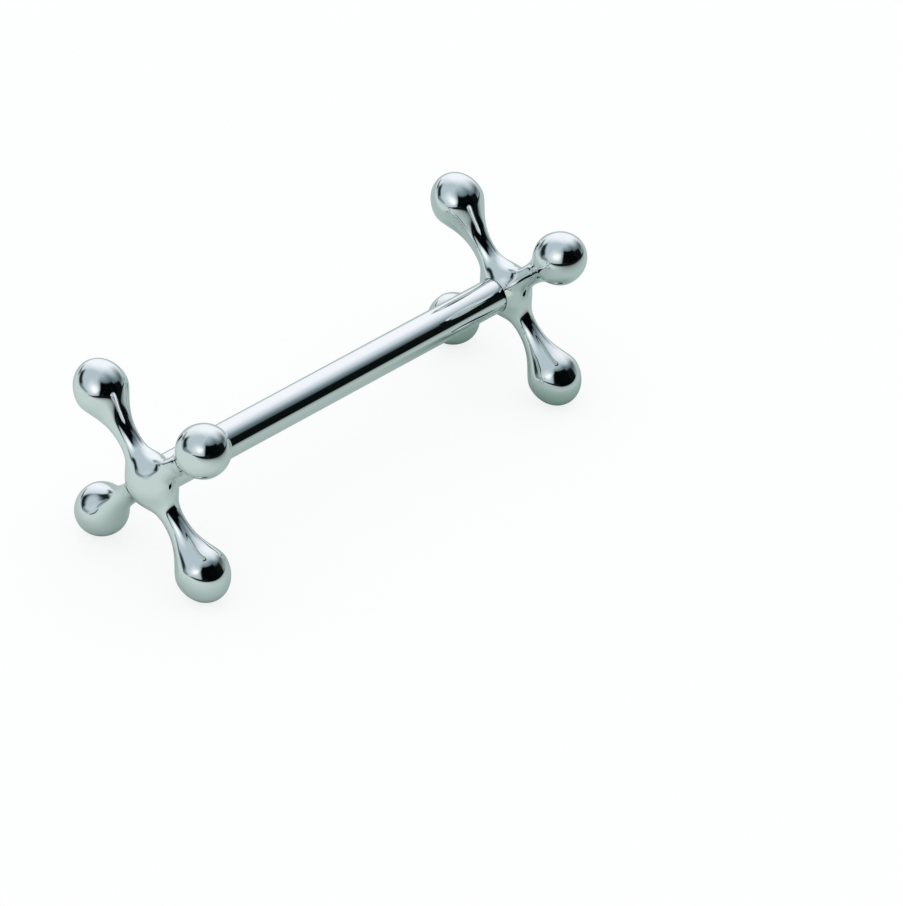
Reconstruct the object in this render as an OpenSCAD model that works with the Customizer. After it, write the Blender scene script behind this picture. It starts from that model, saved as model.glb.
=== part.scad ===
// Knife rest: a round bar between two four-armed crosses, each drawn onto the bar's end by a hidden stud.
// Lengths are in millimetres. The bar lies along X and +Z is up.
// The origin is on the table, below the middle of the bar.

/* [Overall] */
// Distance between the middles of the two crosses
cross_spacing = 63; // [40:0.5:110]

/* [Bar] */
// Diameter of the bar
bar_d = 4.7; // [4:0.1:5.6]
// Width of the broken edge round each end of the bar
bar_edge = 0.12; // [0.05:0.01:0.3]

/* [Cross] */
// Number of arms on each cross
arm_count = 4; // [3:1:6]
// Distance from the middle of the hub to the middle of a knob
arm_reach = 12.9; // [11.5:0.1:22]
// Distance from the middle of the hub to the thinnest place of a neck
neck_reach = 5.95; // [5.2:0.05:6.6]
// Diameter of a neck at its thinnest
neck_d = 2.8; // [2:0.05:3.4]
// Diameter of a knob, measured across the arm
knob_d = 7; // [5:0.1:8]
// Length of a knob from its widest place to its outer end
knob_tip = 4.1; // [2.5:0.1:6]
// Width of the hub, from one valley between two arms to the opposite one
hub_w = 7.8; // [7.2:0.1:8.4]
// Thickness of the hub along the bar
hub_t = 5.8; // [5.4:0.1:8]

/* [Curves of the arm] */
// Length over which a neck stays slender before it swells into its knob
neck_swell = 3.85; // [2:0.05:4.5]
// Length over which the swell turns into the round of the knob
knob_shoulder = 1.77; // [0.8:0.01:2.4]
// Softness of the valley between two arms
valley_round = 1.95; // [1:0.05:2.4]

/* [Stud and holes] */
// Diameter of a stud over its thread
stud_d = 2.5; // [2:0.1:2.6]
// Distance from one ridge of the thread to the next
thread_pitch = 0.45; // [0.35:0.05:0.5]
// Height of a ridge of the thread
thread_depth = 0.24; // [0.1:0.01:0.3]
// Number of ridges that a stud has in the cross
ridges_in_cross = 7; // [5:1:7]
// Number of ridges that a stud has in the bar
ridges_in_bar = 12; // [6:1:20]
// Number of ridges by which each hole is deeper than the stud
spare_ridges = 1; // [1:1:2]
// Width of the countersink at the mouth of each hole
countersink = 0.2; // [0.05:0.05:0.3]
// Play between the thread of a stud and its holes, on the radius
thread_fit = 0.03; // [0.01:0.01:0.08]

/* [Seat of the bar] */
// Width of the hub's flat face that shows round the end of the bar
seat_margin = 0.1; // [0.05:0.01:0.25]
// Play round the end of the bar where it is let into the hub, on the radius
seat_fit = 0.05; // [0.02:0.01:0.1]

/* [Hidden] */
$fn = 96;

// Length by which every cut runs past the face that it opens
overrun = 0.5;

// Half sizes of the turned and cast pieces
bar_r = bar_d / 2;
neck_r = neck_d / 2;
knob_r = knob_d / 2;
hub_r = hub_w / 2;
hub_h = hub_t / 2;
stud_r = stud_d / 2;

// Angle from the middle of an arm to the valley beside it
half_gap = 180 / arm_count;

// Softness of the ridge where an arm runs up onto the hub, so that the hub's face is one even dome,
// and how fast it fades beside the ridge, so that the arm has no crease there
ridge_round = hub_r * sqrt(2 / 3 * (1 - neck_r / hub_h));
ridge_foot = neck_reach - neck_swell * sqrt((hub_h - neck_r) / (knob_r - neck_r));
ridge_fade = hub_r * cos(half_gap) * (1 - 2 / 3 * (ridge_foot / ridge_round - 1));

// Direction of the first arm, so that two arms stand on the table side by side
first_arm = half_gap - 90;

// Where round a knob it touches the table, and how high that holds the bar's axis
foot_turn = atan2(knob_tip * cos(half_gap), knob_r * sin(half_gap));
foot_reach = arm_reach + knob_tip * sin(foot_turn);
axis_z = foot_reach * cos(half_gap) + knob_r * cos(foot_turn) * sin(half_gap);

// Distance from the middle of the hub to the flat that the bar's end sits on
seat_x = hub_h * sqrt(1 - pow((bar_r + seat_margin) / hub_r, 2));
bar_len = cross_spacing - 2 * seat_x;
hole_in_cross = ridges_in_cross + spare_ridges;
hole_in_bar = ridges_in_bar + spare_ridges;

// Numbers of facets: round an arm and along each of its three stretches
facets_per_quarter = 6;
facets_round = 4 * facets_per_quarter;
hub_rings = 8;
neck_rings = 8;
shoulder_rings = 4;
tip_rings = 4;
rings_per_arm = hub_rings + neck_rings + shoulder_rings + tip_rings - 1;
points_per_valley = 2 * facets_per_quarter - 1;
points_per_arm = rings_per_arm * facets_round + 1;

// A point on a curve with two ends and two handles
function curve(ends, s) =
    pow(1 - s, 3) * ends[0] + 3 * s * pow(1 - s, 2) * ends[1]
    + 3 * pow(s, 2) * (1 - s) * ends[2] + pow(s, 3) * ends[3];

// Turns a point from an arm's own frame, which is along, across and through, into the cross's frame
function placed(p, direction) = [
    p[2],
    p[0] * cos(direction) - p[1] * sin(direction),
    p[0] * sin(direction) + p[1] * cos(direction)
];

// The hub seen edge on is an ellipse: a point of it and the direction in which it climbs to the face
function hub_point(climb) = [hub_r * cos(climb), hub_h * sin(climb)];
function hub_climb(climb) =
    let (d = [-hub_r * sin(climb), hub_h * cos(climb)])
    d / norm(d);

// The valley beside an arm lies in a plane, in the arm's frame, to one side and towards one face
function in_valley(p, side, face) = [p[0] * cos(half_gap), side * p[0] * sin(half_gap), face * p[1]];

// The line that runs from a neck up to the hub: its ends and handles, at one turn round the arm.
// It leaves the neck as curved as the swell of the knob leaves it, and crosses the valley square.
function root_line(turn) =
    let (
        side = cos(turn) >= 0 ? 1 : -1,
        face = sin(turn) >= 0 ? 1 : -1,
        climb = asin(abs(sin(turn))),
        lean = (90 - half_gap) * climb / 90,
        start = [neck_reach, neck_r * cos(turn), neck_r * sin(turn)],
        end = in_valley(hub_point(climb), side, face),
        square = [-sin(half_gap), side * cos(half_gap), 0],
        arrival = square * cos(lean) + in_valley(hub_climb(climb), side, face) * sin(lean),
        softness = ridge_round - ridge_fade * abs(cos(turn))
            + (valley_round - ridge_round + ridge_fade) * pow(cos(turn), 2),
        end_handle = end - arrival * softness,
        rise = norm([end_handle[1] - start[1], end_handle[2] - start[2]]),
        start_handle = start - [neck_swell * sqrt(rise / (knob_r - neck_r)), 0, 0]
    )
    [start, start_handle, end_handle, end];

// The outline of an arm from its neck to the widest place of its knob, as distance and radius
neck_line = [
    [neck_reach, neck_r],
    [neck_reach + neck_swell, neck_r],
    [arm_reach - knob_shoulder, knob_r],
    [arm_reach, knob_r]
];

// The outline of a knob beyond its widest place, up to its outer end
function knob_point(turn) = [arm_reach + knob_tip * sin(turn), knob_r * cos(turn)];

// The round outline of an arm, ring by ring. One ring lies on the line that touches the table.
arm_rings = [
    for (i = [1 : neck_rings]) curve(neck_line, i / neck_rings),
    for (i = [1 : shoulder_rings]) knob_point(foot_turn * i / shoulder_rings),
    for (i = [1 : tip_rings - 1]) knob_point(foot_turn + (90 - foot_turn) * i / tip_rings)
];

// The points of one arm, from the hub to the end of the knob, in the arm's frame
arm_points = [
    for (i = [1 : hub_rings])
        for (j = [0 : facets_round - 1])
            curve(root_line(360 * j / facets_round), 1 - i / hub_rings),
    for (ring = arm_rings)
        for (j = [0 : facets_round - 1])
            let (turn = 360 * j / facets_round)
            [ring[0], ring[1] * cos(turn), ring[1] * sin(turn)],
    [arm_reach + knob_tip, 0, 0]
];

// The points of a cross: the middles of its two faces, then the valleys, then the arms
cross_points = [
    [hub_h, 0, 0],
    [-hub_h, 0, 0],
    for (k = [0 : arm_count - 1])
        for (i = [1 : points_per_valley])
            let (p = hub_point(90 - 90 * i / facets_per_quarter))
            placed([p[0], 0, p[1]], first_arm + (2 * k + 1) * half_gap),
    for (k = [0 : arm_count - 1])
        for (p = arm_points)
            placed(p, first_arm + 2 * k * half_gap)
];

// Where a point is in that list: one of a valley, counted from face to face, and one of a ring
function valley_index(k, i) =
    i == 0 ? 0
    : i > points_per_valley ? 1
    : 2 + ((k + arm_count) % arm_count) * points_per_valley + i - 1;
function rim_index(k, j) =
    j <= facets_per_quarter ? valley_index(k, facets_per_quarter - j)
    : j <= 3 * facets_per_quarter ? valley_index(k - 1, j - facets_per_quarter)
    : valley_index(k, 5 * facets_per_quarter - j);
function ring_index(k, ring, j) =
    ring == 0 ? rim_index(k, j % facets_round)
    : 2 + arm_count * points_per_valley + k * points_per_arm
        + (ring - 1) * facets_round + j % facets_round;

// The facets of a cross: two triangles between neighbouring rings, then the cap of each knob
cross_faces = [
    for (k = [0 : arm_count - 1])
        for (ring = [0 : rings_per_arm - 1])
            for (j = [0 : facets_round - 1])
                for (face = [
                    [ring_index(k, ring, j), ring_index(k, ring + 1, j), ring_index(k, ring + 1, j + 1)],
                    [ring_index(k, ring, j), ring_index(k, ring + 1, j + 1), ring_index(k, ring, j + 1)]
                ])
                    face,
    for (k = [0 : arm_count - 1])
        for (j = [0 : facets_round - 1])
            [
                ring_index(k, rings_per_arm, j),
                ring_index(k, rings_per_arm + 1, 0),
                ring_index(k, rings_per_arm, j + 1)
            ]
];

// A rod with ring-shaped ridges of the thread's pitch, standing on the XY plane
module ridged_rod(ridges, extra_r) {
    root_r = stud_r - thread_depth + extra_r;
    rotate_extrude()
        polygon([
            [0, 0],
            for (i = [0 : ridges - 1])
                for (p = [[root_r, i * thread_pitch], [stud_r + extra_r, (i + 0.5) * thread_pitch]])
                    p,
            [root_r, ridges * thread_pitch],
            [0, ridges * thread_pitch]
        ]);
}

// The cut of a tapped hole that goes down from the XY plane
module tapped_hole(ridges) {
    mouth_r = stud_r + thread_fit;
    translate([0, 0, -ridges * thread_pitch])
        ridged_rod(ridges + 1, thread_fit);
    translate([0, 0, -countersink])
        cylinder(h = countersink + overrun, r1 = mouth_r, r2 = mouth_r + countersink + overrun);
}

// One casting, its hub in the middle and the flat seat for the bar towards +X
module cross() {
    difference() {
        polyhedron(points = cross_points, faces = cross_faces, convexity = 8);
        translate([seat_x, 0, 0])
            rotate([0, 90, 0])
                cylinder(h = hub_h - seat_x + overrun, r = bar_r + seat_fit);
        translate([seat_x, 0, 0])
            rotate([0, 90, 0])
                tapped_hole(hole_in_cross);
    }
}

// One stud, reaching from the cross at its left into the bar
module stud() {
    translate([seat_x - ridges_in_cross * thread_pitch, 0, 0])
        rotate([0, 90, 0])
            ridged_rod(ridges_in_cross + ridges_in_bar, 0);
}

// Puts what is drawn about the left cross's hub in its place, or turned round in the right one's
module at_left() {
    translate([-cross_spacing / 2, 0, axis_z])
        children();
}
module at_right() {
    translate([cross_spacing / 2, 0, axis_z])
        rotate([0, 0, 180])
            children();
}

// The turned bar, its edges broken and its ends tapped
module bar() {
    color("#d3d7d8")
        difference() {
            translate([-bar_len / 2, 0, axis_z])
                rotate([0, 90, 0])
                    rotate_extrude()
                        polygon([
                            [0, 0],
                            [bar_r - bar_edge, 0],
                            [bar_r, bar_edge],
                            [bar_r, bar_len - bar_edge],
                            [bar_r - bar_edge, bar_len],
                            [0, bar_len]
                        ]);
            translate([-bar_len / 2, 0, axis_z])
                rotate([0, -90, 0])
                    tapped_hole(hole_in_bar);
            translate([bar_len / 2, 0, axis_z])
                rotate([0, 90, 0])
                    tapped_hole(hole_in_bar);
        }
}

module left_cross() {
    color("#cfd4d5")
        at_left()
            cross();
}

module right_cross() {
    color("#cfd4d5")
        at_right()
            cross();
}

module left_stud() {
    color("#8f9294")
        at_left()
            stud();
}

module right_stud() {
    color("#8f9294")
        at_right()
            stud();
}

bar();
left_cross();
right_cross();
left_stud();
right_stud();
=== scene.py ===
"""Knife rest: a polished bar between two four-armed crosses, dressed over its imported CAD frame."""

import math

import bpy
from mathutils import Matrix, Vector


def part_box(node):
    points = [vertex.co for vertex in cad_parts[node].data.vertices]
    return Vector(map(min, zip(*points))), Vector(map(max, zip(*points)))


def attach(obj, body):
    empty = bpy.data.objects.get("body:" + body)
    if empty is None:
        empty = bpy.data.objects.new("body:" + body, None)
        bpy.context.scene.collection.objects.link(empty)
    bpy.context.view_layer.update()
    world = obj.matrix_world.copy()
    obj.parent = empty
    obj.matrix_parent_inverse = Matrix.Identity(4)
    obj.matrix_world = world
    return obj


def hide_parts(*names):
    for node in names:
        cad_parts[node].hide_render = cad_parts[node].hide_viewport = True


bl_info = {
    "name": "Knife Rest",
    "version": (1, 0, 0),
    "blender": (4, 5, 0),
    "location": "View3D > Sidebar > Knife Rest",
    "description": "Makes a polished knife rest and the plain studio that it stands in",
    "category": "Add Mesh",
}

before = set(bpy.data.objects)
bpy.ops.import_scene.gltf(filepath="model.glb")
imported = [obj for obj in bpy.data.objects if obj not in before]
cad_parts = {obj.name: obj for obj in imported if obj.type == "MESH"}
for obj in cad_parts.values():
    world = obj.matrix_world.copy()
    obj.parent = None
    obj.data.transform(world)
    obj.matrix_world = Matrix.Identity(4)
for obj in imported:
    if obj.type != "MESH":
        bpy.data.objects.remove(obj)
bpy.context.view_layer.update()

MM = 0.001

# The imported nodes: the bar gives its own sizes, and each cross its place, its height and its knobs.
BAR_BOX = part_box("bar")
LEFT_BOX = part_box("left_cross")
RIGHT_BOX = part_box("right_cross")
AXIS_HEIGHT = (LEFT_BOX[0][2] + LEFT_BOX[1][2]) / 2
BAR_DIAMETER = BAR_BOX[1][2] - BAR_BOX[0][2]
BAR_LENGTH = BAR_BOX[1][0] - BAR_BOX[0][0]
KNOB_DIAMETER = LEFT_BOX[1][0] - LEFT_BOX[0][0]
LEFT_HUB = (LEFT_BOX[0][0] + LEFT_BOX[1][0]) / 2
RIGHT_HUB = (RIGHT_BOX[0][0] + RIGHT_BOX[1][0]) / 2

# The photograph's frame and where its camera stood
PHOTO_WIDTH = 903
PHOTO_HEIGHT = 906
FOCAL_LENGTH_PX = 6000
BAR_MIDDLE_PX = (333.26, 382.22)
SENSOR_MM = 36.0
# The camera sees what is between these, in metres.
NEAREST_SEEN = 0.01
FURTHEST_SEEN = 100.0

# A sine or cosine closer to nought than this counts as nought.
TINY = 1e-9
# A cubic curve's bend at its end is this share of how far aside its other handle lies, over the
# square of the length of its own handle.
END_BEND = 2 / 3
# Rings along an arm, for every RING_FACETS facets round it: on the hub, from the neck to the
# knob's widest place, from there to where the knob stands, and on to its tip
RING_SHARES = (8, 9, 4, 4)
RING_FACETS = 24
# Steps across the rounded edge at each end of the bar
EDGE_STEPS = 6
# Points of neighbouring arms that lie closer than this become one.
WELD_DISTANCE = 0.002 * MM
# An edge where faces meet at more than this stays crisp.
SHARP_EDGE = math.radians(35)

# Polishing marks come and go in clouds of this size.
CLOUD_MM = 4
# Where the marks' noise times that of the clouds mostly lies
MARKS_LOW = 0.15
MARKS_HIGH = 0.42

# How much of the floor, where it is looked at, is its own glow, which takes no shadow
GLOW_SHARE = 0.8
WHITE = (1.0, 1.0, 1.0, 1.0)
# The floor on the dark side of the room, as polished metal sees it: painted shade, set by place
PAINTED_DARK_FLOOR = (0.004, 0.006, 0.006, 1.0)
# The colour sockets of a Mix node, which has others with the same names
MIX_BELOW = 6
MIX_ABOVE = 7
MIX_RESULT = 2


def length(name, description, default, most=1.0):
    """A property that holds a length in metres."""
    return bpy.props.FloatProperty(
        name=name, description=description, default=default, min=0.0, max=most,
        precision=5, subtype="DISTANCE", unit="LENGTH",
    )


def angle(name, description, degrees):
    """A property that holds an angle."""
    return bpy.props.FloatProperty(
        name=name, description=description, default=math.radians(degrees),
        subtype="ANGLE", unit="ROTATION",
    )


def linear(hex_colour):
    """Turns an sRGB hex colour into Blender's linear one."""
    parts = [int(hex_colour[i:i + 2], 16) / 255 for i in (1, 3, 5)]
    return tuple(
        c / 12.92 if c <= 0.04045 else ((c + 0.055) / 1.055) ** 2.4 for c in parts
    ) + (1.0,)


def colour(name, description, hex_colour):
    """A property that holds a colour, given as sRGB hex."""
    return bpy.props.FloatVectorProperty(
        name=name, description=description, default=linear(hex_colour),
        size=4, min=0.0, max=4.0, subtype="COLOR",
    )


class CrossSizes(bpy.types.PropertyGroup):
    """Sizes of the two cast crosses."""

    arms: bpy.props.IntProperty(
        name="Arms", description="Number of arms on a cross", default=4, min=3, max=6)
    arm_reach: length(
        "Arm reach", "From the middle of the hub to the middle of a knob", 12.9 * MM)
    neck_reach: length(
        "Neck reach", "From the middle of the hub to the thinnest place of a neck", 5.95 * MM)
    neck_diameter: length("Neck diameter", "Diameter of a neck at its thinnest", 2.8 * MM)
    knob_diameter: length("Knob diameter", "Diameter of a knob across its arm", KNOB_DIAMETER)
    knob_tip: length("Knob tip", "From a knob's widest place to its outer end", 4.1 * MM)
    hub_width: length(
        "Hub width", "From one valley between two arms to the opposite one", 7.8 * MM)
    hub_thickness: length("Hub thickness", "Thickness of the hub along the bar", 5.8 * MM)
    neck_swell: length("Neck swell", "Length over which a neck stays slender", 3.85 * MM)
    knob_shoulder: length(
        "Knob shoulder", "Length over which the swell turns into the knob", 1.77 * MM)
    valley_round: length("Valley round", "Softness of the valley between two arms", 1.95 * MM)
    seat_gap: length(
        "Seat gap", "Gap round the bar's end where it is let into the hub", 0.05 * MM)
    sides: bpy.props.IntProperty(
        name="Sides", description="Facets round an arm, a multiple of four", default=96, min=24)


class BarSizes(bpy.types.PropertyGroup):
    """Sizes of the turned bar and of the holes for the studs."""

    diameter: length("Diameter", "Diameter of the bar", BAR_DIAMETER)
    length: length("Length", "Length of the bar", BAR_LENGTH)
    edge: length("Edge", "Width of the rounded edge at each end", 0.12 * MM)
    bore: length("Bore", "Diameter of the holes for the studs", 2.56 * MM)
    bore_depth: length("Bore depth", "Depth of the hole in each end of the bar", 5.85 * MM)
    cross_bore_depth: length("Cross bore depth", "Depth of the hole in each hub", 3.6 * MM)
    sides: bpy.props.IntProperty(
        name="Sides", description="Facets round the bar", default=192, min=48)


class Finishes(bpy.types.PropertyGroup):
    """Colours of the metals."""

    plating: colour("Plating", "Mirror-polished plating on the castings", "#ebeeee")
    bar_plating: colour("Bar plating", "Mirror-polished plating on the turned bar", "#edefef")
    # Very dark on purpose: painted shade for each joint's crevice, over dull unplated metal.
    joint: colour("Joint", "Dull unplated metal in the joints", "#2b2a27")
    steel: colour("Steel", "Bright machined steel of the studs", "#8f9294")


class StageSettings(bpy.types.PropertyGroup):
    """The camera, and the floor and light of the studio."""

    azimuth: angle("Azimuth", "Camera's direction round the object", -46.26)
    elevation: angle("Elevation", "Camera's height above the horizon, as an angle", 35.33)
    roll: angle("Roll", "Camera's tilt about its own axis", 1.89)
    distance: length(
        "Distance", "From the camera to the middle of the bar", 765.4 * MM, most=10.0)
    floor_size: length("Floor size", "Width of the floor", 6.0, most=50.0)
    foot_spread: length(
        "Foot spread", "From the bar's axis to where a knob touches the floor", 9.7 * MM)
    contact_start: length(
        "Contact start", "From a foot to where its contact shade begins to fade", 2 * MM)
    contact_end: length(
        "Contact end", "From a foot to where its contact shade has gone", 14 * MM)
    # Painted light and shade on the mirrored paper, set by distance from the bar
    lamp_start: length(
        "Lamplight start", "From the bar to where the paper lightens toward the lamp", 10 * MM)
    lamp_end: length(
        "Lamplight end", "From the bar to where the lamp lights the paper most", 55 * MM)
    shade_start: length(
        "Shade start", "From the bar to where the paper darkens toward the room", 30 * MM)
    shade_end: length(
        "Shade end", "From the bar to where the paper is lost in the dark", 160 * MM)
    floor: colour("Floor", "White paper, as the camera sees it", "#ffffff")
    mirrored_floor: colour(
        "Mirrored floor", "The same paper, as polished metal sees it", "#bacac4")
    # Painted shade: the mirrored paper darkened round each foot, in place of its contact shadow.
    painted_contact_shade_floor: colour("Contact floor", "The mirrored paper beside a foot", "#92aca0")
    lamplit_floor: colour("Lamplit floor", "The mirrored paper on the lamp's side", "#d5e2dc")
    sky: colour("Sky", "Diffused light overhead", "#fafcff")


def add(tree, kind, inputs=(), **settings):
    """Adds a node, sets its own settings, and gives its inputs values or links."""
    node = tree.nodes.new(kind)
    for name, value in settings.items():
        setattr(node, name, value)
    for key, value in dict(inputs).items():
        if isinstance(value, bpy.types.NodeSocket):
            tree.links.new(value, node.inputs[key])
        else:
            node.inputs[key].default_value = value
    return node


def material(name):
    """A new material with an emptied node tree, and that tree."""
    made = bpy.data.materials.new(name)
    made.use_nodes = True
    made.node_tree.nodes.clear()
    return made, made.node_tree


def worked_metal(name, tint, grain_mm, roughness, wave_mm, wave_height_mm):
    """Metal as its working leaves it: marks that come and go, over a slight unevenness.

    The marks' size is given along the bar, across it and upwards, and the roughness at its least
    and its most. Real marks are finer: these are as coarse as they need to be to show.
    """
    made, tree = material(name)
    place = add(tree, "ShaderNodeTexCoord").outputs["Object"]
    stretched = add(tree, "ShaderNodeMapping", {
        "Vector": place, "Scale": tuple(1 / (size * MM) for size in grain_mm),
    })
    marks = add(tree, "ShaderNodeTexNoise", {
        "Vector": stretched.outputs["Vector"], "Scale": 1.0, "Detail": 3.0, "Roughness": 0.6,
    })
    clouds = add(tree, "ShaderNodeTexNoise", {
        "Vector": place, "Scale": 1 / (CLOUD_MM * MM), "Detail": 2.0,
    })
    mixed = add(tree, "ShaderNodeMath", {
        0: marks.outputs["Fac"], 1: clouds.outputs["Fac"],
    }, operation="MULTIPLY")
    rough = add(tree, "ShaderNodeMapRange", {
        "Value": mixed.outputs["Value"], "From Min": MARKS_LOW, "From Max": MARKS_HIGH,
        "To Min": roughness[0], "To Max": roughness[1],
    })
    uneven = add(tree, "ShaderNodeTexNoise", {
        "Vector": place, "Scale": 1 / (wave_mm * MM), "Detail": 0.0,
    })
    bump = add(tree, "ShaderNodeBump", {
        "Height": uneven.outputs["Fac"], "Strength": 1.0, "Distance": wave_height_mm * MM,
    })
    shader = add(tree, "ShaderNodeBsdfPrincipled", {
        "Base Color": tint, "Metallic": 1.0, "Roughness": rough.outputs["Result"],
        "Normal": bump.outputs["Normal"],
    })
    add(tree, "ShaderNodeOutputMaterial", {"Surface": shader.outputs["BSDF"]})
    return made


def polished_chrome_casting(tint):
    """Cast metal, buffed by hand and chrome plated: a cool mirror that wavers a little."""
    return worked_metal(
        "polished_chrome_casting", tint,
        grain_mm=(0.5, 0.5, 0.5), roughness=(0.015, 0.06), wave_mm=2.6, wave_height_mm=0.12,
    )


def polished_chrome_rod(tint):
    """Drawn rod, lathe-polished and chrome plated: a truer mirror, with faint marks round it."""
    return worked_metal(
        "polished_chrome_rod", tint,
        grain_mm=(0.12, 4, 4), roughness=(0.012, 0.05), wave_mm=6.0, wave_height_mm=0.004,
    )


def dull_joint_with_painted_shade(tint):
    """Bare metal where plating and buffing do not reach: dull, and coloured very dark as painted
    shade, so that it draws the joint's dark crevice line.
    """
    return worked_metal(
        "dull_joint_with_painted_shade", tint,
        grain_mm=(0.2, 0.2, 0.2), roughness=(0.45, 0.7), wave_mm=1.0, wave_height_mm=0.004,
    )


def machined_steel(tint):
    """Bright steel with a rolled thread: duller than the plating, with fine turning lines."""
    return worked_metal(
        "machined_steel", tint,
        grain_mm=(0.06, 1, 1), roughness=(0.18, 0.38), wave_mm=1.5, wave_height_mm=0.002,
    )


def curve_point(ends, s):
    """A point on a cubic curve, which is given by its start, its two handles and its end."""
    return (
        (1 - s) ** 3 * ends[0] + 3 * s * (1 - s) ** 2 * ends[1]
        + 3 * s * s * (1 - s) * ends[2] + s ** 3 * ends[3]
    )


def root_line(sizes, turn):
    """The line from a neck up onto the hub, at one turn round the arm: its ends and handles.

    It leaves the neck as curved as the swell of the knob leaves it, and crosses the valley square.
    Over the ridge it is as soft as makes the hub's face one even dome, and beside the ridge that
    fades so that the arm has no crease. Vectors are through the cross, along the arm and across it.
    """
    half_gap = math.pi / sizes.arms
    hub_r, hub_h = sizes.hub_width / 2, sizes.hub_thickness / 2
    neck_r, knob_r = sizes.neck_diameter / 2, sizes.knob_diameter / 2
    side = 1 if math.cos(turn) > -TINY else -1
    face = 1 if math.sin(turn) > -TINY else -1
    climb = math.asin(min(1.0, abs(math.sin(turn))))
    lean = (math.pi / 2 - half_gap) * climb / (math.pi / 2)
    outward = Vector((0, math.cos(half_gap), side * math.sin(half_gap)))
    through = Vector((face, 0, 0))
    start = Vector((neck_r * math.sin(turn), sizes.neck_reach, neck_r * math.cos(turn)))
    end = outward * hub_r * math.cos(climb) + through * hub_h * math.sin(climb)
    uphill = (through * hub_h * math.cos(climb) - outward * hub_r * math.sin(climb)).normalized()
    square = Vector((0, -math.sin(half_gap), side * math.cos(half_gap)))
    arrival = square * math.cos(lean) + uphill * math.sin(lean)
    ridge_round = hub_r * math.sqrt(END_BEND * (1 - neck_r / hub_h))
    ridge_foot = (
        sizes.neck_reach - sizes.neck_swell * math.sqrt((hub_h - neck_r) / (knob_r - neck_r))
    )
    fade = hub_r * math.cos(half_gap) * (1 - END_BEND * (ridge_foot / ridge_round - 1))
    aside = abs(math.cos(turn))
    softness = (
        ridge_round - fade * aside + (sizes.valley_round - ridge_round + fade) * aside ** 2
    )
    end_handle = end - arrival * softness
    rise = math.hypot(end_handle.x - start.x, end_handle.z - start.z)
    start_handle = start - Vector((0, sizes.neck_swell * math.sqrt(rise / (knob_r - neck_r)), 0))
    return start, start_handle, end_handle, end


def arm_mesh(sizes):
    """One arm of a cross along +Y, from the valleys beside it to the end of its knob."""
    half_gap = math.pi / sizes.arms
    neck_r, knob_r = sizes.neck_diameter / 2, sizes.knob_diameter / 2
    foot_turn = math.atan2(sizes.knob_tip * math.cos(half_gap), knob_r * math.sin(half_gap))
    turns = [2 * math.pi * j / sizes.sides for j in range(sizes.sides)]
    hub_rings, neck_rings, foot_rings, tip_rings = (
        sizes.sides * share // RING_FACETS for share in RING_SHARES
    )

    lines = [root_line(sizes, turn) for turn in turns]
    points = [
        curve_point(line, 1 - i / hub_rings) for i in range(hub_rings + 1) for line in lines
    ]

    neck_line = [
        Vector((sizes.neck_reach, neck_r)),
        Vector((sizes.neck_reach + sizes.neck_swell, neck_r)),
        Vector((sizes.arm_reach - sizes.knob_shoulder, knob_r)),
        Vector((sizes.arm_reach, knob_r)),
    ]
    outline = [curve_point(neck_line, i / neck_rings) for i in range(1, neck_rings + 1)]
    knob_turns = [foot_turn * i / foot_rings for i in range(1, foot_rings + 1)]
    knob_turns += [
        foot_turn + (math.pi / 2 - foot_turn) * i / tip_rings for i in range(1, tip_rings)
    ]
    outline += [
        Vector((sizes.arm_reach + sizes.knob_tip * math.sin(a), knob_r * math.cos(a)))
        for a in knob_turns
    ]
    points += [
        Vector((radius * math.sin(turn), along, radius * math.cos(turn)))
        for along, radius in outline for turn in turns
    ]
    points.append(Vector((0, sizes.arm_reach + sizes.knob_tip, 0)))

    count = sizes.sides
    last_ring = (hub_rings + len(outline)) * count
    faces = []
    for low in range(0, last_ring, count):
        high = low + count
        for j in range(count):
            k = (j + 1) % count
            faces.append((low + j, low + k, high + k, high + j))
    tip = len(points) - 1
    faces += [(last_ring + j, last_ring + (j + 1) % count, tip) for j in range(count)]
    mesh = bpy.data.meshes.new("arm")
    mesh.from_pydata(points, [], faces)
    return mesh


def lathed_mesh(name, outline, sides):
    """A closed solid of revolution about X, from an outline of (x, radius) with its ends on X."""
    points, faces, rows = [], [], []
    for x, radius in outline:
        if radius == 0:
            rows.append([len(points)] * sides)
            points.append((x, 0, 0))
        else:
            rows.append(list(range(len(points), len(points) + sides)))
            turns = [2 * math.pi * j / sides for j in range(sides)]
            points += [(x, radius * math.cos(t), radius * math.sin(t)) for t in turns]
    for low, high in zip(rows, rows[1:]):
        for j in range(sides):
            k = (j + 1) % sides
            corners = (low[j], low[k], high[k], high[j])
            faces.append(tuple(dict.fromkeys(corners)))
    mesh = bpy.data.meshes.new(name)
    mesh.from_pydata(points, [], faces)
    return mesh


def tree_inputs(tree, wanted):
    """Adds named inputs to a geometry tree, and gives the identifier of each."""
    made = {}
    for name, kind, default in wanted:
        socket = tree.interface.new_socket(name=name, in_out="INPUT", socket_type=kind)
        if default is not None:
            socket.default_value = default
        made[name] = socket.identifier
    return made


def shaded_smooth(tree, geometry, sharp_angle):
    """Smooth shading, with edges sharper than the given angle kept crisp."""
    edge_angle = add(tree, "GeometryNodeInputMeshEdgeAngle")
    is_soft = add(tree, "FunctionNodeCompare", {
        "A": edge_angle.outputs["Unsigned Angle"], "B": sharp_angle,
    }, operation="LESS_THAN", data_type="FLOAT")
    faces = add(tree, "GeometryNodeSetShadeSmooth", {
        "Geometry": geometry, "Shade Smooth": True,
    }, domain="FACE")
    return add(tree, "GeometryNodeSetShadeSmooth", {
        "Geometry": faces.outputs["Geometry"], "Shade Smooth": is_soft.outputs["Result"],
    }, domain="EDGE").outputs["Geometry"]


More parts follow.
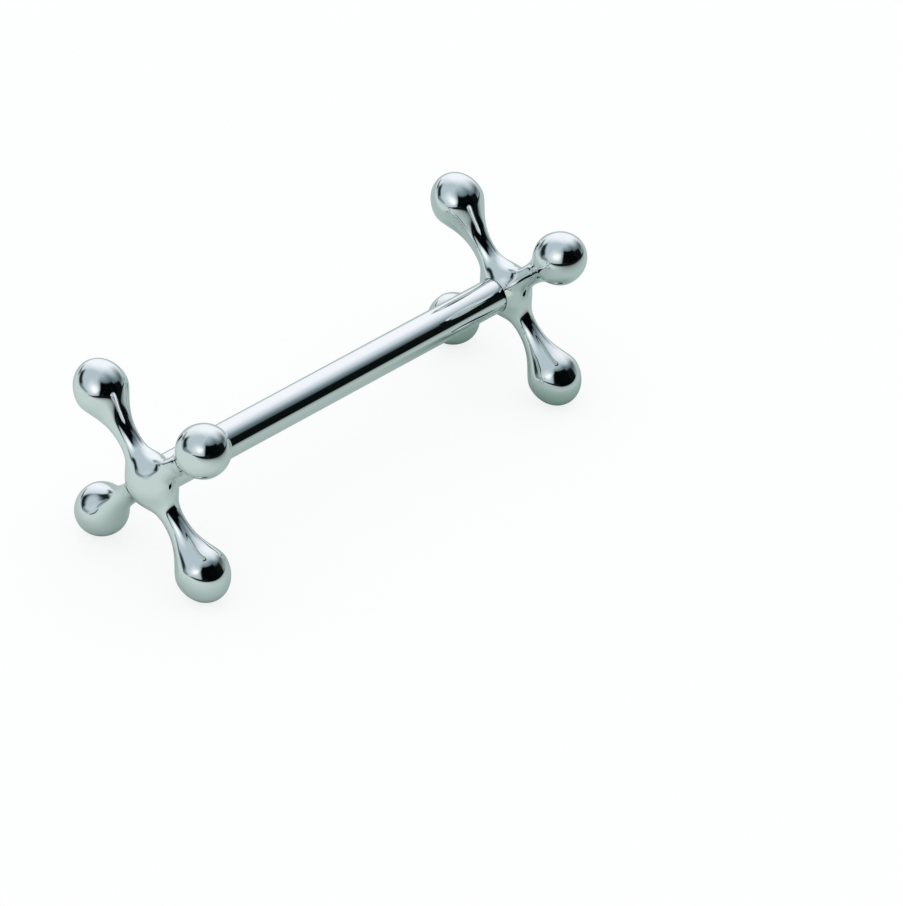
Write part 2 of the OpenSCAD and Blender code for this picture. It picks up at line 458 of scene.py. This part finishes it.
def cross_tree():
    """The tree that sets like arms round a hub and cuts the bar's seat and hole into it."""
    tree = bpy.data.node_groups.new("arms_round_a_hub", "GeometryNodeTree")
    tree.is_modifier = True
    keys = tree_inputs(tree, [
        ("Geometry", "NodeSocketGeometry", None),
        ("Arms", "NodeSocketInt", 4),
        ("First Arm", "NodeSocketFloat", 0.0),
        ("Facing", "NodeSocketFloat", 0.0),
        ("Hub", "NodeSocketVector", None),
        ("Seat Distance", "NodeSocketFloat", 2 * MM),
        ("Seat Radius", "NodeSocketFloat", 2 * MM),
        ("Seat Depth", "NodeSocketFloat", 2 * MM),
        ("Bore Radius", "NodeSocketFloat", 1 * MM),
        ("Bore Depth", "NodeSocketFloat", 2 * MM),
        ("Sides", "NodeSocketInt", 96),
        ("Finish", "NodeSocketMaterial", None),
        ("Joint Finish And Painted Shade", "NodeSocketMaterial", None),
    ])
    tree.interface.new_socket(
        name="Geometry", in_out="OUTPUT", socket_type="NodeSocketGeometry")
    given = tree.nodes.new("NodeGroupInput").outputs

    step = add(tree, "ShaderNodeMath", {0: 2 * math.pi, 1: given["Arms"]}, operation="DIVIDE")
    index = add(tree, "GeometryNodeInputIndex")
    turn = add(tree, "ShaderNodeMath", {
        0: index.outputs["Index"], 1: step.outputs["Value"], 2: given["First Arm"],
    }, operation="MULTIPLY_ADD")
    rotation = add(tree, "ShaderNodeCombineXYZ", {"X": turn.outputs["Value"]})
    middles = add(tree, "GeometryNodeMeshLine", {"Count": given["Arms"], "Offset": (0, 0, 0)})
    ring = add(tree, "GeometryNodeInstanceOnPoints", {
        "Points": middles.outputs["Mesh"], "Instance": given["Geometry"],
        "Rotation": rotation.outputs["Vector"],
    })
    real = add(tree, "GeometryNodeRealizeInstances", {"Geometry": ring.outputs["Instances"]})
    joined = add(tree, "GeometryNodeMergeByDistance", {
        "Geometry": real.outputs["Geometry"], "Distance": WELD_DISTANCE,
    })

    half_facet = add(tree, "ShaderNodeMath", {0: math.pi, 1: given["Sides"]}, operation="DIVIDE")
    along_bar = add(tree, "ShaderNodeCombineXYZ", {
        "X": math.pi / 2, "Y": half_facet.outputs["Value"], "Z": math.pi / 2,
    })

    def cutter(radius, depth, middle):
        """A cylinder along X at a distance from the hub, half a facet off the arms' lines.

        The faces that it leaves in the hub keep its dark joint material, which paints the shade of
        the joint's crevice.
        """
        rod = add(tree, "GeometryNodeMeshCylinder", {
            "Vertices": given["Sides"], "Radius": radius, "Depth": depth,
        })
        place = add(tree, "ShaderNodeCombineXYZ", {"X": middle})
        laid = add(tree, "GeometryNodeTransform", {
            "Geometry": rod.outputs["Mesh"], "Translation": place.outputs["Vector"],
            "Rotation": along_bar.outputs["Vector"],
        })
        return add(tree, "GeometryNodeSetMaterial", {
            "Geometry": laid.outputs["Geometry"], "Material": given["Joint Finish And Painted Shade"],
        }).outputs["Geometry"]

    seat_middle = add(tree, "ShaderNodeMath", {
        0: given["Seat Depth"], 1: 0.5, 2: given["Seat Distance"],
    }, operation="MULTIPLY_ADD")
    seat = cutter(given["Seat Radius"], given["Seat Depth"], seat_middle.outputs["Value"])
    bore_length = add(tree, "ShaderNodeMath", {
        0: given["Bore Depth"], 1: given["Seat Depth"],
    }, operation="ADD")
    bore_shift = add(tree, "ShaderNodeMath", {
        0: given["Seat Depth"], 1: given["Bore Depth"],
    }, operation="SUBTRACT")
    bore_middle = add(tree, "ShaderNodeMath", {
        0: bore_shift.outputs["Value"], 1: 0.5, 2: given["Seat Distance"],
    }, operation="MULTIPLY_ADD")
    bore = cutter(
        given["Bore Radius"], bore_length.outputs["Value"], bore_middle.outputs["Value"])

    # Cut as triangles, which are flat, the arms get no folded slivers at the seat's rim.
    flat_faced = add(tree, "GeometryNodeTriangulate", {"Mesh": joined.outputs["Geometry"]})
    cut = add(tree, "GeometryNodeMeshBoolean", {
        "Mesh 1": flat_faced.outputs["Mesh"],
    }, operation="DIFFERENCE", solver="EXACT")
    tree.links.new(bore, cut.inputs["Mesh 2"])
    tree.links.new(seat, cut.inputs["Mesh 2"])

    facing = add(tree, "ShaderNodeCombineXYZ", {"Z": given["Facing"]})
    placed = add(tree, "GeometryNodeTransform", {
        "Geometry": cut.outputs["Mesh"], "Translation": given["Hub"],
        "Rotation": facing.outputs["Vector"],
    })
    smooth = shaded_smooth(tree, placed.outputs["Geometry"], SHARP_EDGE)
    in_joint = add(tree, "GeometryNodeMaterialSelection", {"Material": given["Joint Finish And Painted Shade"]})
    outside = add(tree, "FunctionNodeBooleanMath", {
        0: in_joint.outputs["Selection"],
    }, operation="NOT")
    finished = add(tree, "GeometryNodeSetMaterial", {
        "Geometry": smooth, "Selection": outside.outputs["Boolean"], "Material": given["Finish"],
    })
    add(tree, "NodeGroupOutput", {"Geometry": finished.outputs["Geometry"]})
    return tree, keys


def dressed(name, mesh, tree, values):
    """Runs a geometry tree on a mesh and gives the result as a plain mesh object at the origin."""
    source = bpy.data.objects.new(name + "_source", mesh)
    bpy.context.scene.collection.objects.link(source)
    modifier = source.modifiers.new("shape", "NODES")
    modifier.node_group = tree
    for identifier, value in values.items():
        modifier[identifier] = value
    bpy.context.view_layer.update()
    depsgraph = bpy.context.evaluated_depsgraph_get()
    result = bpy.data.meshes.new_from_object(source.evaluated_get(depsgraph))
    bpy.data.objects.remove(source)
    result.name = name
    # The cut leaves an empty slot for the bare arms, which no face uses once it has its finish.
    while None in result.materials[:]:
        result.materials.pop(index=result.materials[:].index(None))
    piece = bpy.data.objects.new(name, result)
    bpy.context.scene.collection.objects.link(piece)
    return piece


class KNIFEREST_OT_crosses(bpy.types.Operator):
    """Make the two polished crosses, each one casting with necked arms and round knobs"""

    bl_idname = "kniferest.crosses"
    bl_label = "Crosses"

    def execute(self, context):
        scene = context.scene
        sizes, bar = scene.kniferest_cross, scene.kniferest_bar
        finish = polished_chrome_casting(scene.kniferest_finish.plating)
        joint = dull_joint_with_painted_shade(scene.kniferest_finish.joint)
        tree, keys = cross_tree()
        seat = (abs(RIGHT_HUB - LEFT_HUB) - bar.length) / 2
        half_gap = math.pi / sizes.arms
        ends = (("left_cross", LEFT_HUB, 0.0), ("right_cross", RIGHT_HUB, math.pi))
        for node, hub_x, facing in ends:
            piece = dressed("polished_" + node, arm_mesh(sizes), tree, {
                keys["Arms"]: sizes.arms,
                keys["First Arm"]: half_gap - math.pi / 2,
                keys["Facing"]: facing,
                keys["Hub"]: (hub_x, 0.0, AXIS_HEIGHT),
                keys["Seat Distance"]: seat,
                keys["Seat Radius"]: bar.diameter / 2 + sizes.seat_gap,
                keys["Seat Depth"]: sizes.hub_thickness / 2,
                keys["Bore Radius"]: bar.bore / 2,
                keys["Bore Depth"]: bar.cross_bore_depth,
                keys["Sides"]: sizes.sides,
                keys["Finish"]: finish,
                keys["Joint Finish And Painted Shade"]: joint,
            })
            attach(piece, "root")
            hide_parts(node)
        return {"FINISHED"}


class KNIFEREST_OT_bar(bpy.types.Operator):
    """Make the polished bar, its edges rounded and its ends bored for the studs"""

    bl_idname = "kniferest.bar"
    bl_label = "Bar"

    def execute(self, context):
        scene = context.scene
        bar = scene.kniferest_bar
        half, radius, bore = bar.length / 2, bar.diameter / 2, bar.bore / 2
        edge_turns = [math.pi / 2 * i / EDGE_STEPS for i in range(EDGE_STEPS + 1)]
        edge = [
            (half - bar.edge * (1 - math.sin(a)), radius - bar.edge * (1 - math.cos(a)))
            for a in edge_turns
        ]
        bottom = half - bar.bore_depth
        right_end = edge + [(half, bore), (bottom, bore), (bottom, 0)]
        left_end = [(-x, r) for x, r in reversed(right_end)]
        mesh = lathed_mesh("bar", left_end + right_end, bar.sides)
        mesh.transform(Matrix.Translation((0, 0, AXIS_HEIGHT)))
        mesh.shade_smooth()
        mesh.set_sharp_from_angle(angle=SHARP_EDGE)
        mesh.materials.append(polished_chrome_rod(scene.kniferest_finish.bar_plating))
        mesh.materials.append(dull_joint_with_painted_shade(scene.kniferest_finish.joint))
        # The plating ends halfway over the rounded edge; beyond it the dark joint material paints the
        # crevice's shade.
        for face in mesh.polygons:
            face.material_index = int(abs(face.center.x) > half - bar.edge / 2)
        piece = bpy.data.objects.new("polished_bar", mesh)
        scene.collection.objects.link(piece)
        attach(piece, "root")
        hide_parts("bar")
        return {"FINISHED"}


class KNIFEREST_OT_studs(bpy.types.Operator):
    """Give the two hidden studs their bright machined steel"""

    bl_idname = "kniferest.studs"
    bl_label = "Studs"

    def execute(self, context):
        finish = machined_steel(context.scene.kniferest_finish.steel)
        for node in ("left_stud", "right_stud"):
            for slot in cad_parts[node].material_slots:
                slot.material = finish
        return {"FINISHED"}


def camera_axes(stage):
    """The camera's right, up and back directions, with its roll."""
    a, e, r = stage.azimuth, stage.elevation, stage.roll
    back = Vector((math.sin(a) * math.cos(e), -math.cos(a) * math.cos(e), math.sin(e)))
    right = Vector((math.cos(a), math.sin(a), 0))
    up = back.cross(right)
    return (
        right * math.cos(r) + up * math.sin(r),
        up * math.cos(r) - right * math.sin(r),
        back,
    )


def add_camera(scene, stage):
    """The photograph's camera, with the middle of the bar at its place in the frame."""
    right, up, back = camera_axes(stage)
    aside = (BAR_MIDDLE_PX[0] - PHOTO_WIDTH / 2) / FOCAL_LENGTH_PX
    above = (PHOTO_HEIGHT / 2 - BAR_MIDDLE_PX[1]) / FOCAL_LENGTH_PX
    place = Vector((0, 0, AXIS_HEIGHT)) + (back - right * aside - up * above) * stage.distance
    data = bpy.data.cameras.new("photo_camera")
    data.sensor_width = SENSOR_MM
    data.lens = FOCAL_LENGTH_PX * SENSOR_MM / max(PHOTO_WIDTH, PHOTO_HEIGHT)
    data.clip_start = NEAREST_SEEN
    data.clip_end = FURTHEST_SEEN
    camera = bpy.data.objects.new("photo_camera", data)
    turned = Matrix((right, up, back)).transposed().to_4x4()
    camera.matrix_world = Matrix.Translation(place) @ turned
    scene.collection.objects.link(camera)
    scene.camera = camera


def layered(tree, below, mask, above):
    """One colour laid over another through a mask."""
    mix = add(tree, "ShaderNodeMix", {
        "Factor": mask, MIX_BELOW: below, MIX_ABOVE: above,
    }, data_type="RGBA")
    return mix.outputs[MIX_RESULT]


def floor_material(stage):
    """Matt paper: lifted to white where it is looked at, with the object's shadow left on it.

    Polished metal mirrors it darker and a little green, with painted light and shade set by place:
    painted shade beside each foot, a painted pool of lamplight toward the lamp, and painted shade
    falling off into the dark side of the room.
    """
    made, tree = material("matt_white_paper")
    rays = add(tree, "ShaderNodeLightPath").outputs
    place = add(tree, "ShaderNodeNewGeometry").outputs["Position"]
    # Painted light and shade by place: lighter toward -X as if lamplit, darker toward -Y.
    parts = add(tree, "ShaderNodeSeparateXYZ", {"Vector": place}).outputs
    lamplit = add(tree, "ShaderNodeMapRange", {
        "Value": parts["X"], "From Min": -stage.lamp_start, "From Max": -stage.lamp_end,
    }).outputs["Result"]
    shade = add(tree, "ShaderNodeMapRange", {
        "Value": parts["Y"], "From Min": -stage.shade_start, "From Max": -stage.shade_end,
    }).outputs["Result"]
    # Folded along both axes, the floor has its four feet in one place.
    folded = add(tree, "ShaderNodeVectorMath", {0: place}, operation="ABSOLUTE")
    from_foot = add(tree, "ShaderNodeVectorMath", {
        0: folded.outputs["Vector"], 1: (RIGHT_HUB, stage.foot_spread, 0),
    }, operation="DISTANCE")
    # Painted contact shade: the mirrored paper darkens with nearness to a foot.
    contact = add(tree, "ShaderNodeMapRange", {
        "Value": from_foot.outputs["Value"],
        "From Min": stage.contact_end, "From Max": stage.contact_start,
    }).outputs["Result"]
    painted_contact_shade = layered(tree, stage.mirrored_floor, contact, stage.painted_contact_shade_floor)
    lit = layered(tree, painted_contact_shade, lamplit, stage.lamplit_floor)
    mirrored = layered(tree, lit, shade, PAINTED_DARK_FLOOR)
    shown = layered(tree, stage.floor, rays["Is Glossy Ray"], mirrored)
    paper = add(tree, "ShaderNodeBsdfDiffuse", {"Color": shown})
    glow = add(tree, "ShaderNodeEmission", {"Color": shown, "Strength": 1.0})
    looked_at = add(tree, "ShaderNodeMath", {
        0: rays["Is Camera Ray"], 1: rays["Is Transmission Ray"],
    }, operation="MAXIMUM")
    share = add(tree, "ShaderNodeMath", {
        0: looked_at.outputs["Value"], 1: GLOW_SHARE,
    }, operation="MULTIPLY")
    mixed = add(tree, "ShaderNodeMixShader", {
        0: share.outputs["Value"], 1: paper.outputs["BSDF"], 2: glow.outputs["Emission"],
    })
    add(tree, "ShaderNodeOutputMaterial", {"Surface": mixed.outputs["Shader"]})
    return made


def add_floor(scene, stage):
    """A plain square of pale paper under the object."""
    half = stage.floor_size / 2
    corners = [(-half, -half, 0), (half, -half, 0), (half, half, 0), (-half, half, 0)]
    mesh = bpy.data.meshes.new("studio_floor")
    mesh.from_pydata(corners, [], [(0, 1, 2, 3)])
    mesh.materials.append(floor_material(stage))
    floor = bpy.data.objects.new("studio_floor", mesh)
    scene.collection.objects.link(floor)


def direction_angles(tree, turned):
    """Azimuth from the camera's side, and elevation, of the way in which the world is seen."""
    way = add(tree, "ShaderNodeTexCoord").outputs["Generated"]
    level = add(tree, "ShaderNodeVectorRotate", {
        "Vector": way, "Angle": turned,
    }, rotation_type="Z_AXIS")
    parts = add(tree, "ShaderNodeSeparateXYZ", {"Vector": level.outputs["Vector"]}).outputs
    around = add(tree, "ShaderNodeMath", {0: parts["Y"], 1: parts["X"]}, operation="ARCTAN2")
    height = add(tree, "ShaderNodeMath", {0: parts["Z"]}, operation="ARCSINE")
    return around.outputs["Value"], height.outputs["Value"]


def soft_band(tree, off, half_width, blur):
    """One within half a width of nought, and nought outside, with a soft edge."""
    size = add(tree, "ShaderNodeMath", {0: off}, operation="ABSOLUTE")
    inner = add(tree, "ShaderNodeMath", {0: half_width, 1: blur / 2}, operation="SUBTRACT")
    outer = add(tree, "ShaderNodeMath", {0: half_width, 1: blur / 2}, operation="ADD")
    return add(tree, "ShaderNodeMapRange", {
        "Value": size.outputs["Value"],
        "From Min": outer.outputs["Value"], "From Max": inner.outputs["Value"],
    }, interpolation_type="SMOOTHSTEP").outputs["Result"]


def patch(tree, around, height, shape):
    """A soft-edged, slanting and tapering rectangle of the studio, seen from the object."""
    azimuth, elevation, half_width, half_height, fall, taper, blur = shape
    off = add(tree, "ShaderNodeMath", {0: around, 1: math.radians(azimuth)}, operation="SUBTRACT")
    aside = add(tree, "ShaderNodeMath", {
        0: off.outputs["Value"], 1: math.pi, 2: -math.pi,
    }, operation="WRAP").outputs["Value"]
    middle = add(tree, "ShaderNodeMath", {
        0: aside, 1: -fall, 2: math.radians(elevation),
    }, operation="MULTIPLY_ADD")
    above = add(tree, "ShaderNodeMath", {
        0: height, 1: middle.outputs["Value"],
    }, operation="SUBTRACT")
    slimmer = -taper * half_height / half_width
    half = add(tree, "ShaderNodeMath", {
        0: aside, 1: slimmer, 2: math.radians(half_height),
    }, operation="MULTIPLY_ADD")
    wide = soft_band(tree, aside, math.radians(half_width), math.radians(blur))
    tall = soft_band(tree, above.outputs["Value"], half.outputs["Value"], math.radians(blur))
    return add(tree, "ShaderNodeMath", {0: wide, 1: tall}, operation="MULTIPLY").outputs["Value"]


# The diffused light overhead, as the polished metal mirrors it: a painted reflection, dimmer than the
# light it gives
SKY_IN_MIRROR = (0.52, 0.62, 0.675, 1.0)

# Painted reflections, seen only by glossy rays and lighting nothing: what else the metal mirrors,
# seen from the object in degrees, the camera's side being nought: its azimuth, elevation, half width
# and half height, how it falls and tapers from left to right as shares, the softness of its edge,
# and its brightness.
STUDIO_PAINTED_IN_MIRROR = [
    ("white wall behind", (180, 32, 45, 40, 0, 0, 60), (1.05, 1.07, 1.13)),
    ("soft shade over the dark side", (43, 42, 58, 28, 0, 0, 44), (0.12, 0.17, 0.2)),
    ("shade beside the curtain", (110, 19, 34, 17, 0.1, 0.2, 36), (0.08, 0.11, 0.12)),
    ("dark curtain", (86, 12, 18, 21, 0.25, 0.1, 10), (0.003, 0.005, 0.005)),
    ("lamp glow", (-36, 32, 26, 16, 0, 0, 30), (0.8, 0.885, 0.895)),
    ("lamp", (-29, 29, 13, 9, 0, 0, 22), (1.25, 1.25, 1.25)),
    ("dark side of the room", (36, 19.5, 39, 33, 0.1, 0.03, 9), (0.001, 0.002, 0.002)),
    ("foot of the dark side", (-16, 1, 34, 3.5, 0, -0.6, 4), (0.01, 0.014, 0.014)),
    ("dark stand", (-102, 16, 20, 9.5, 0.4, 0, 12), (0.01, 0.02, 0.018)),
    ("left foot of the stand", (-134, 9, 14, 4, 0, -0.6, 7), (0.1, 0.14, 0.13)),
    ("right foot of the stand", (-72, 7, 16, 4, 0, 0.6, 8), (0.2, 0.26, 0.26)),
]


def studio_world(scene, stage):
    """Soft light overhead, and for the mirror alone painted reflections of a bright wall, a lamp and
    the room's dark side.
    """
    world = bpy.data.worlds.new("soft_studio")
    world.use_nodes = True
    tree = world.node_tree
    tree.nodes.clear()
    back = camera_axes(stage)[2]
    around, height = direction_angles(tree, -math.atan2(back.y, back.x))
    seen = SKY_IN_MIRROR
    for _, shape, brightness in STUDIO_PAINTED_IN_MIRROR:
        seen = layered(tree, seen, patch(tree, around, height, shape), brightness + (1.0,))
    rays = add(tree, "ShaderNodeLightPath").outputs
    mirrored = layered(tree, stage.sky, rays["Is Glossy Ray"], seen)
    shown = layered(tree, mirrored, rays["Is Camera Ray"], WHITE)
    light = add(tree, "ShaderNodeBackground", {"Color": shown, "Strength": 1.0})
    add(tree, "ShaderNodeOutputWorld", {"Surface": light.outputs["Background"]})
    scene.world = world


class KNIFEREST_OT_stage(bpy.types.Operator):
    """Set up the pale floor, the soft studio and the camera"""

    bl_idname = "kniferest.stage"
    bl_label = "Stage"

    def execute(self, context):
        scene = context.scene
        stage = scene.kniferest_stage
        add_camera(scene, stage)
        add_floor(scene, stage)
        studio_world(scene, stage)
        scene.view_settings.view_transform = "Standard"
        return {"FINISHED"}


class KNIFEREST_PT_panel(bpy.types.Panel):
    """The knife rest's sizes, finishes and pieces"""

    bl_idname = "KNIFEREST_PT_panel"
    bl_label = "Knife Rest"
    bl_space_type = "VIEW_3D"
    bl_region_type = "UI"
    bl_category = "Knife Rest"

    def draw(self, context):
        scene = context.scene
        for title, operator, group in PANEL_ROWS:
            box = self.layout.box()
            box.label(text=title)
            settings = getattr(scene, group)
            for name in settings.__annotations__:
                box.prop(settings, name)
            box.operator(operator)


GROUPS = [
    ("kniferest_cross", CrossSizes),
    ("kniferest_bar", BarSizes),
    ("kniferest_finish", Finishes),
    ("kniferest_stage", StageSettings),
]
PANEL_ROWS = [
    ("Crosses", "kniferest.crosses", "kniferest_cross"),
    ("Bar", "kniferest.bar", "kniferest_bar"),
    ("Studs and finishes", "kniferest.studs", "kniferest_finish"),
    ("Stage", "kniferest.stage", "kniferest_stage"),
]
CLASSES = [
    CrossSizes, BarSizes, Finishes, StageSettings,
    KNIFEREST_OT_crosses, KNIFEREST_OT_bar, KNIFEREST_OT_studs, KNIFEREST_OT_stage,
    KNIFEREST_PT_panel,
]


def register():
    """Registers the classes and hangs the settings on the scene."""
    for cls in CLASSES:
        bpy.utils.register_class(cls)
    for name, group in GROUPS:
        setattr(bpy.types.Scene, name, bpy.props.PointerProperty(type=group))


def unregister():
    """Takes the settings and the classes away again."""
    for name, _ in reversed(GROUPS):
        delattr(bpy.types.Scene, name)
    for cls in reversed(CLASSES):
        bpy.utils.unregister_class(cls)


def main():
    """Makes the stage and every piece."""
    register()
    bpy.ops.kniferest.stage()
    bpy.ops.kniferest.crosses()
    bpy.ops.kniferest.bar()
    bpy.ops.kniferest.studs()


if __name__ == "__main__":
    main()
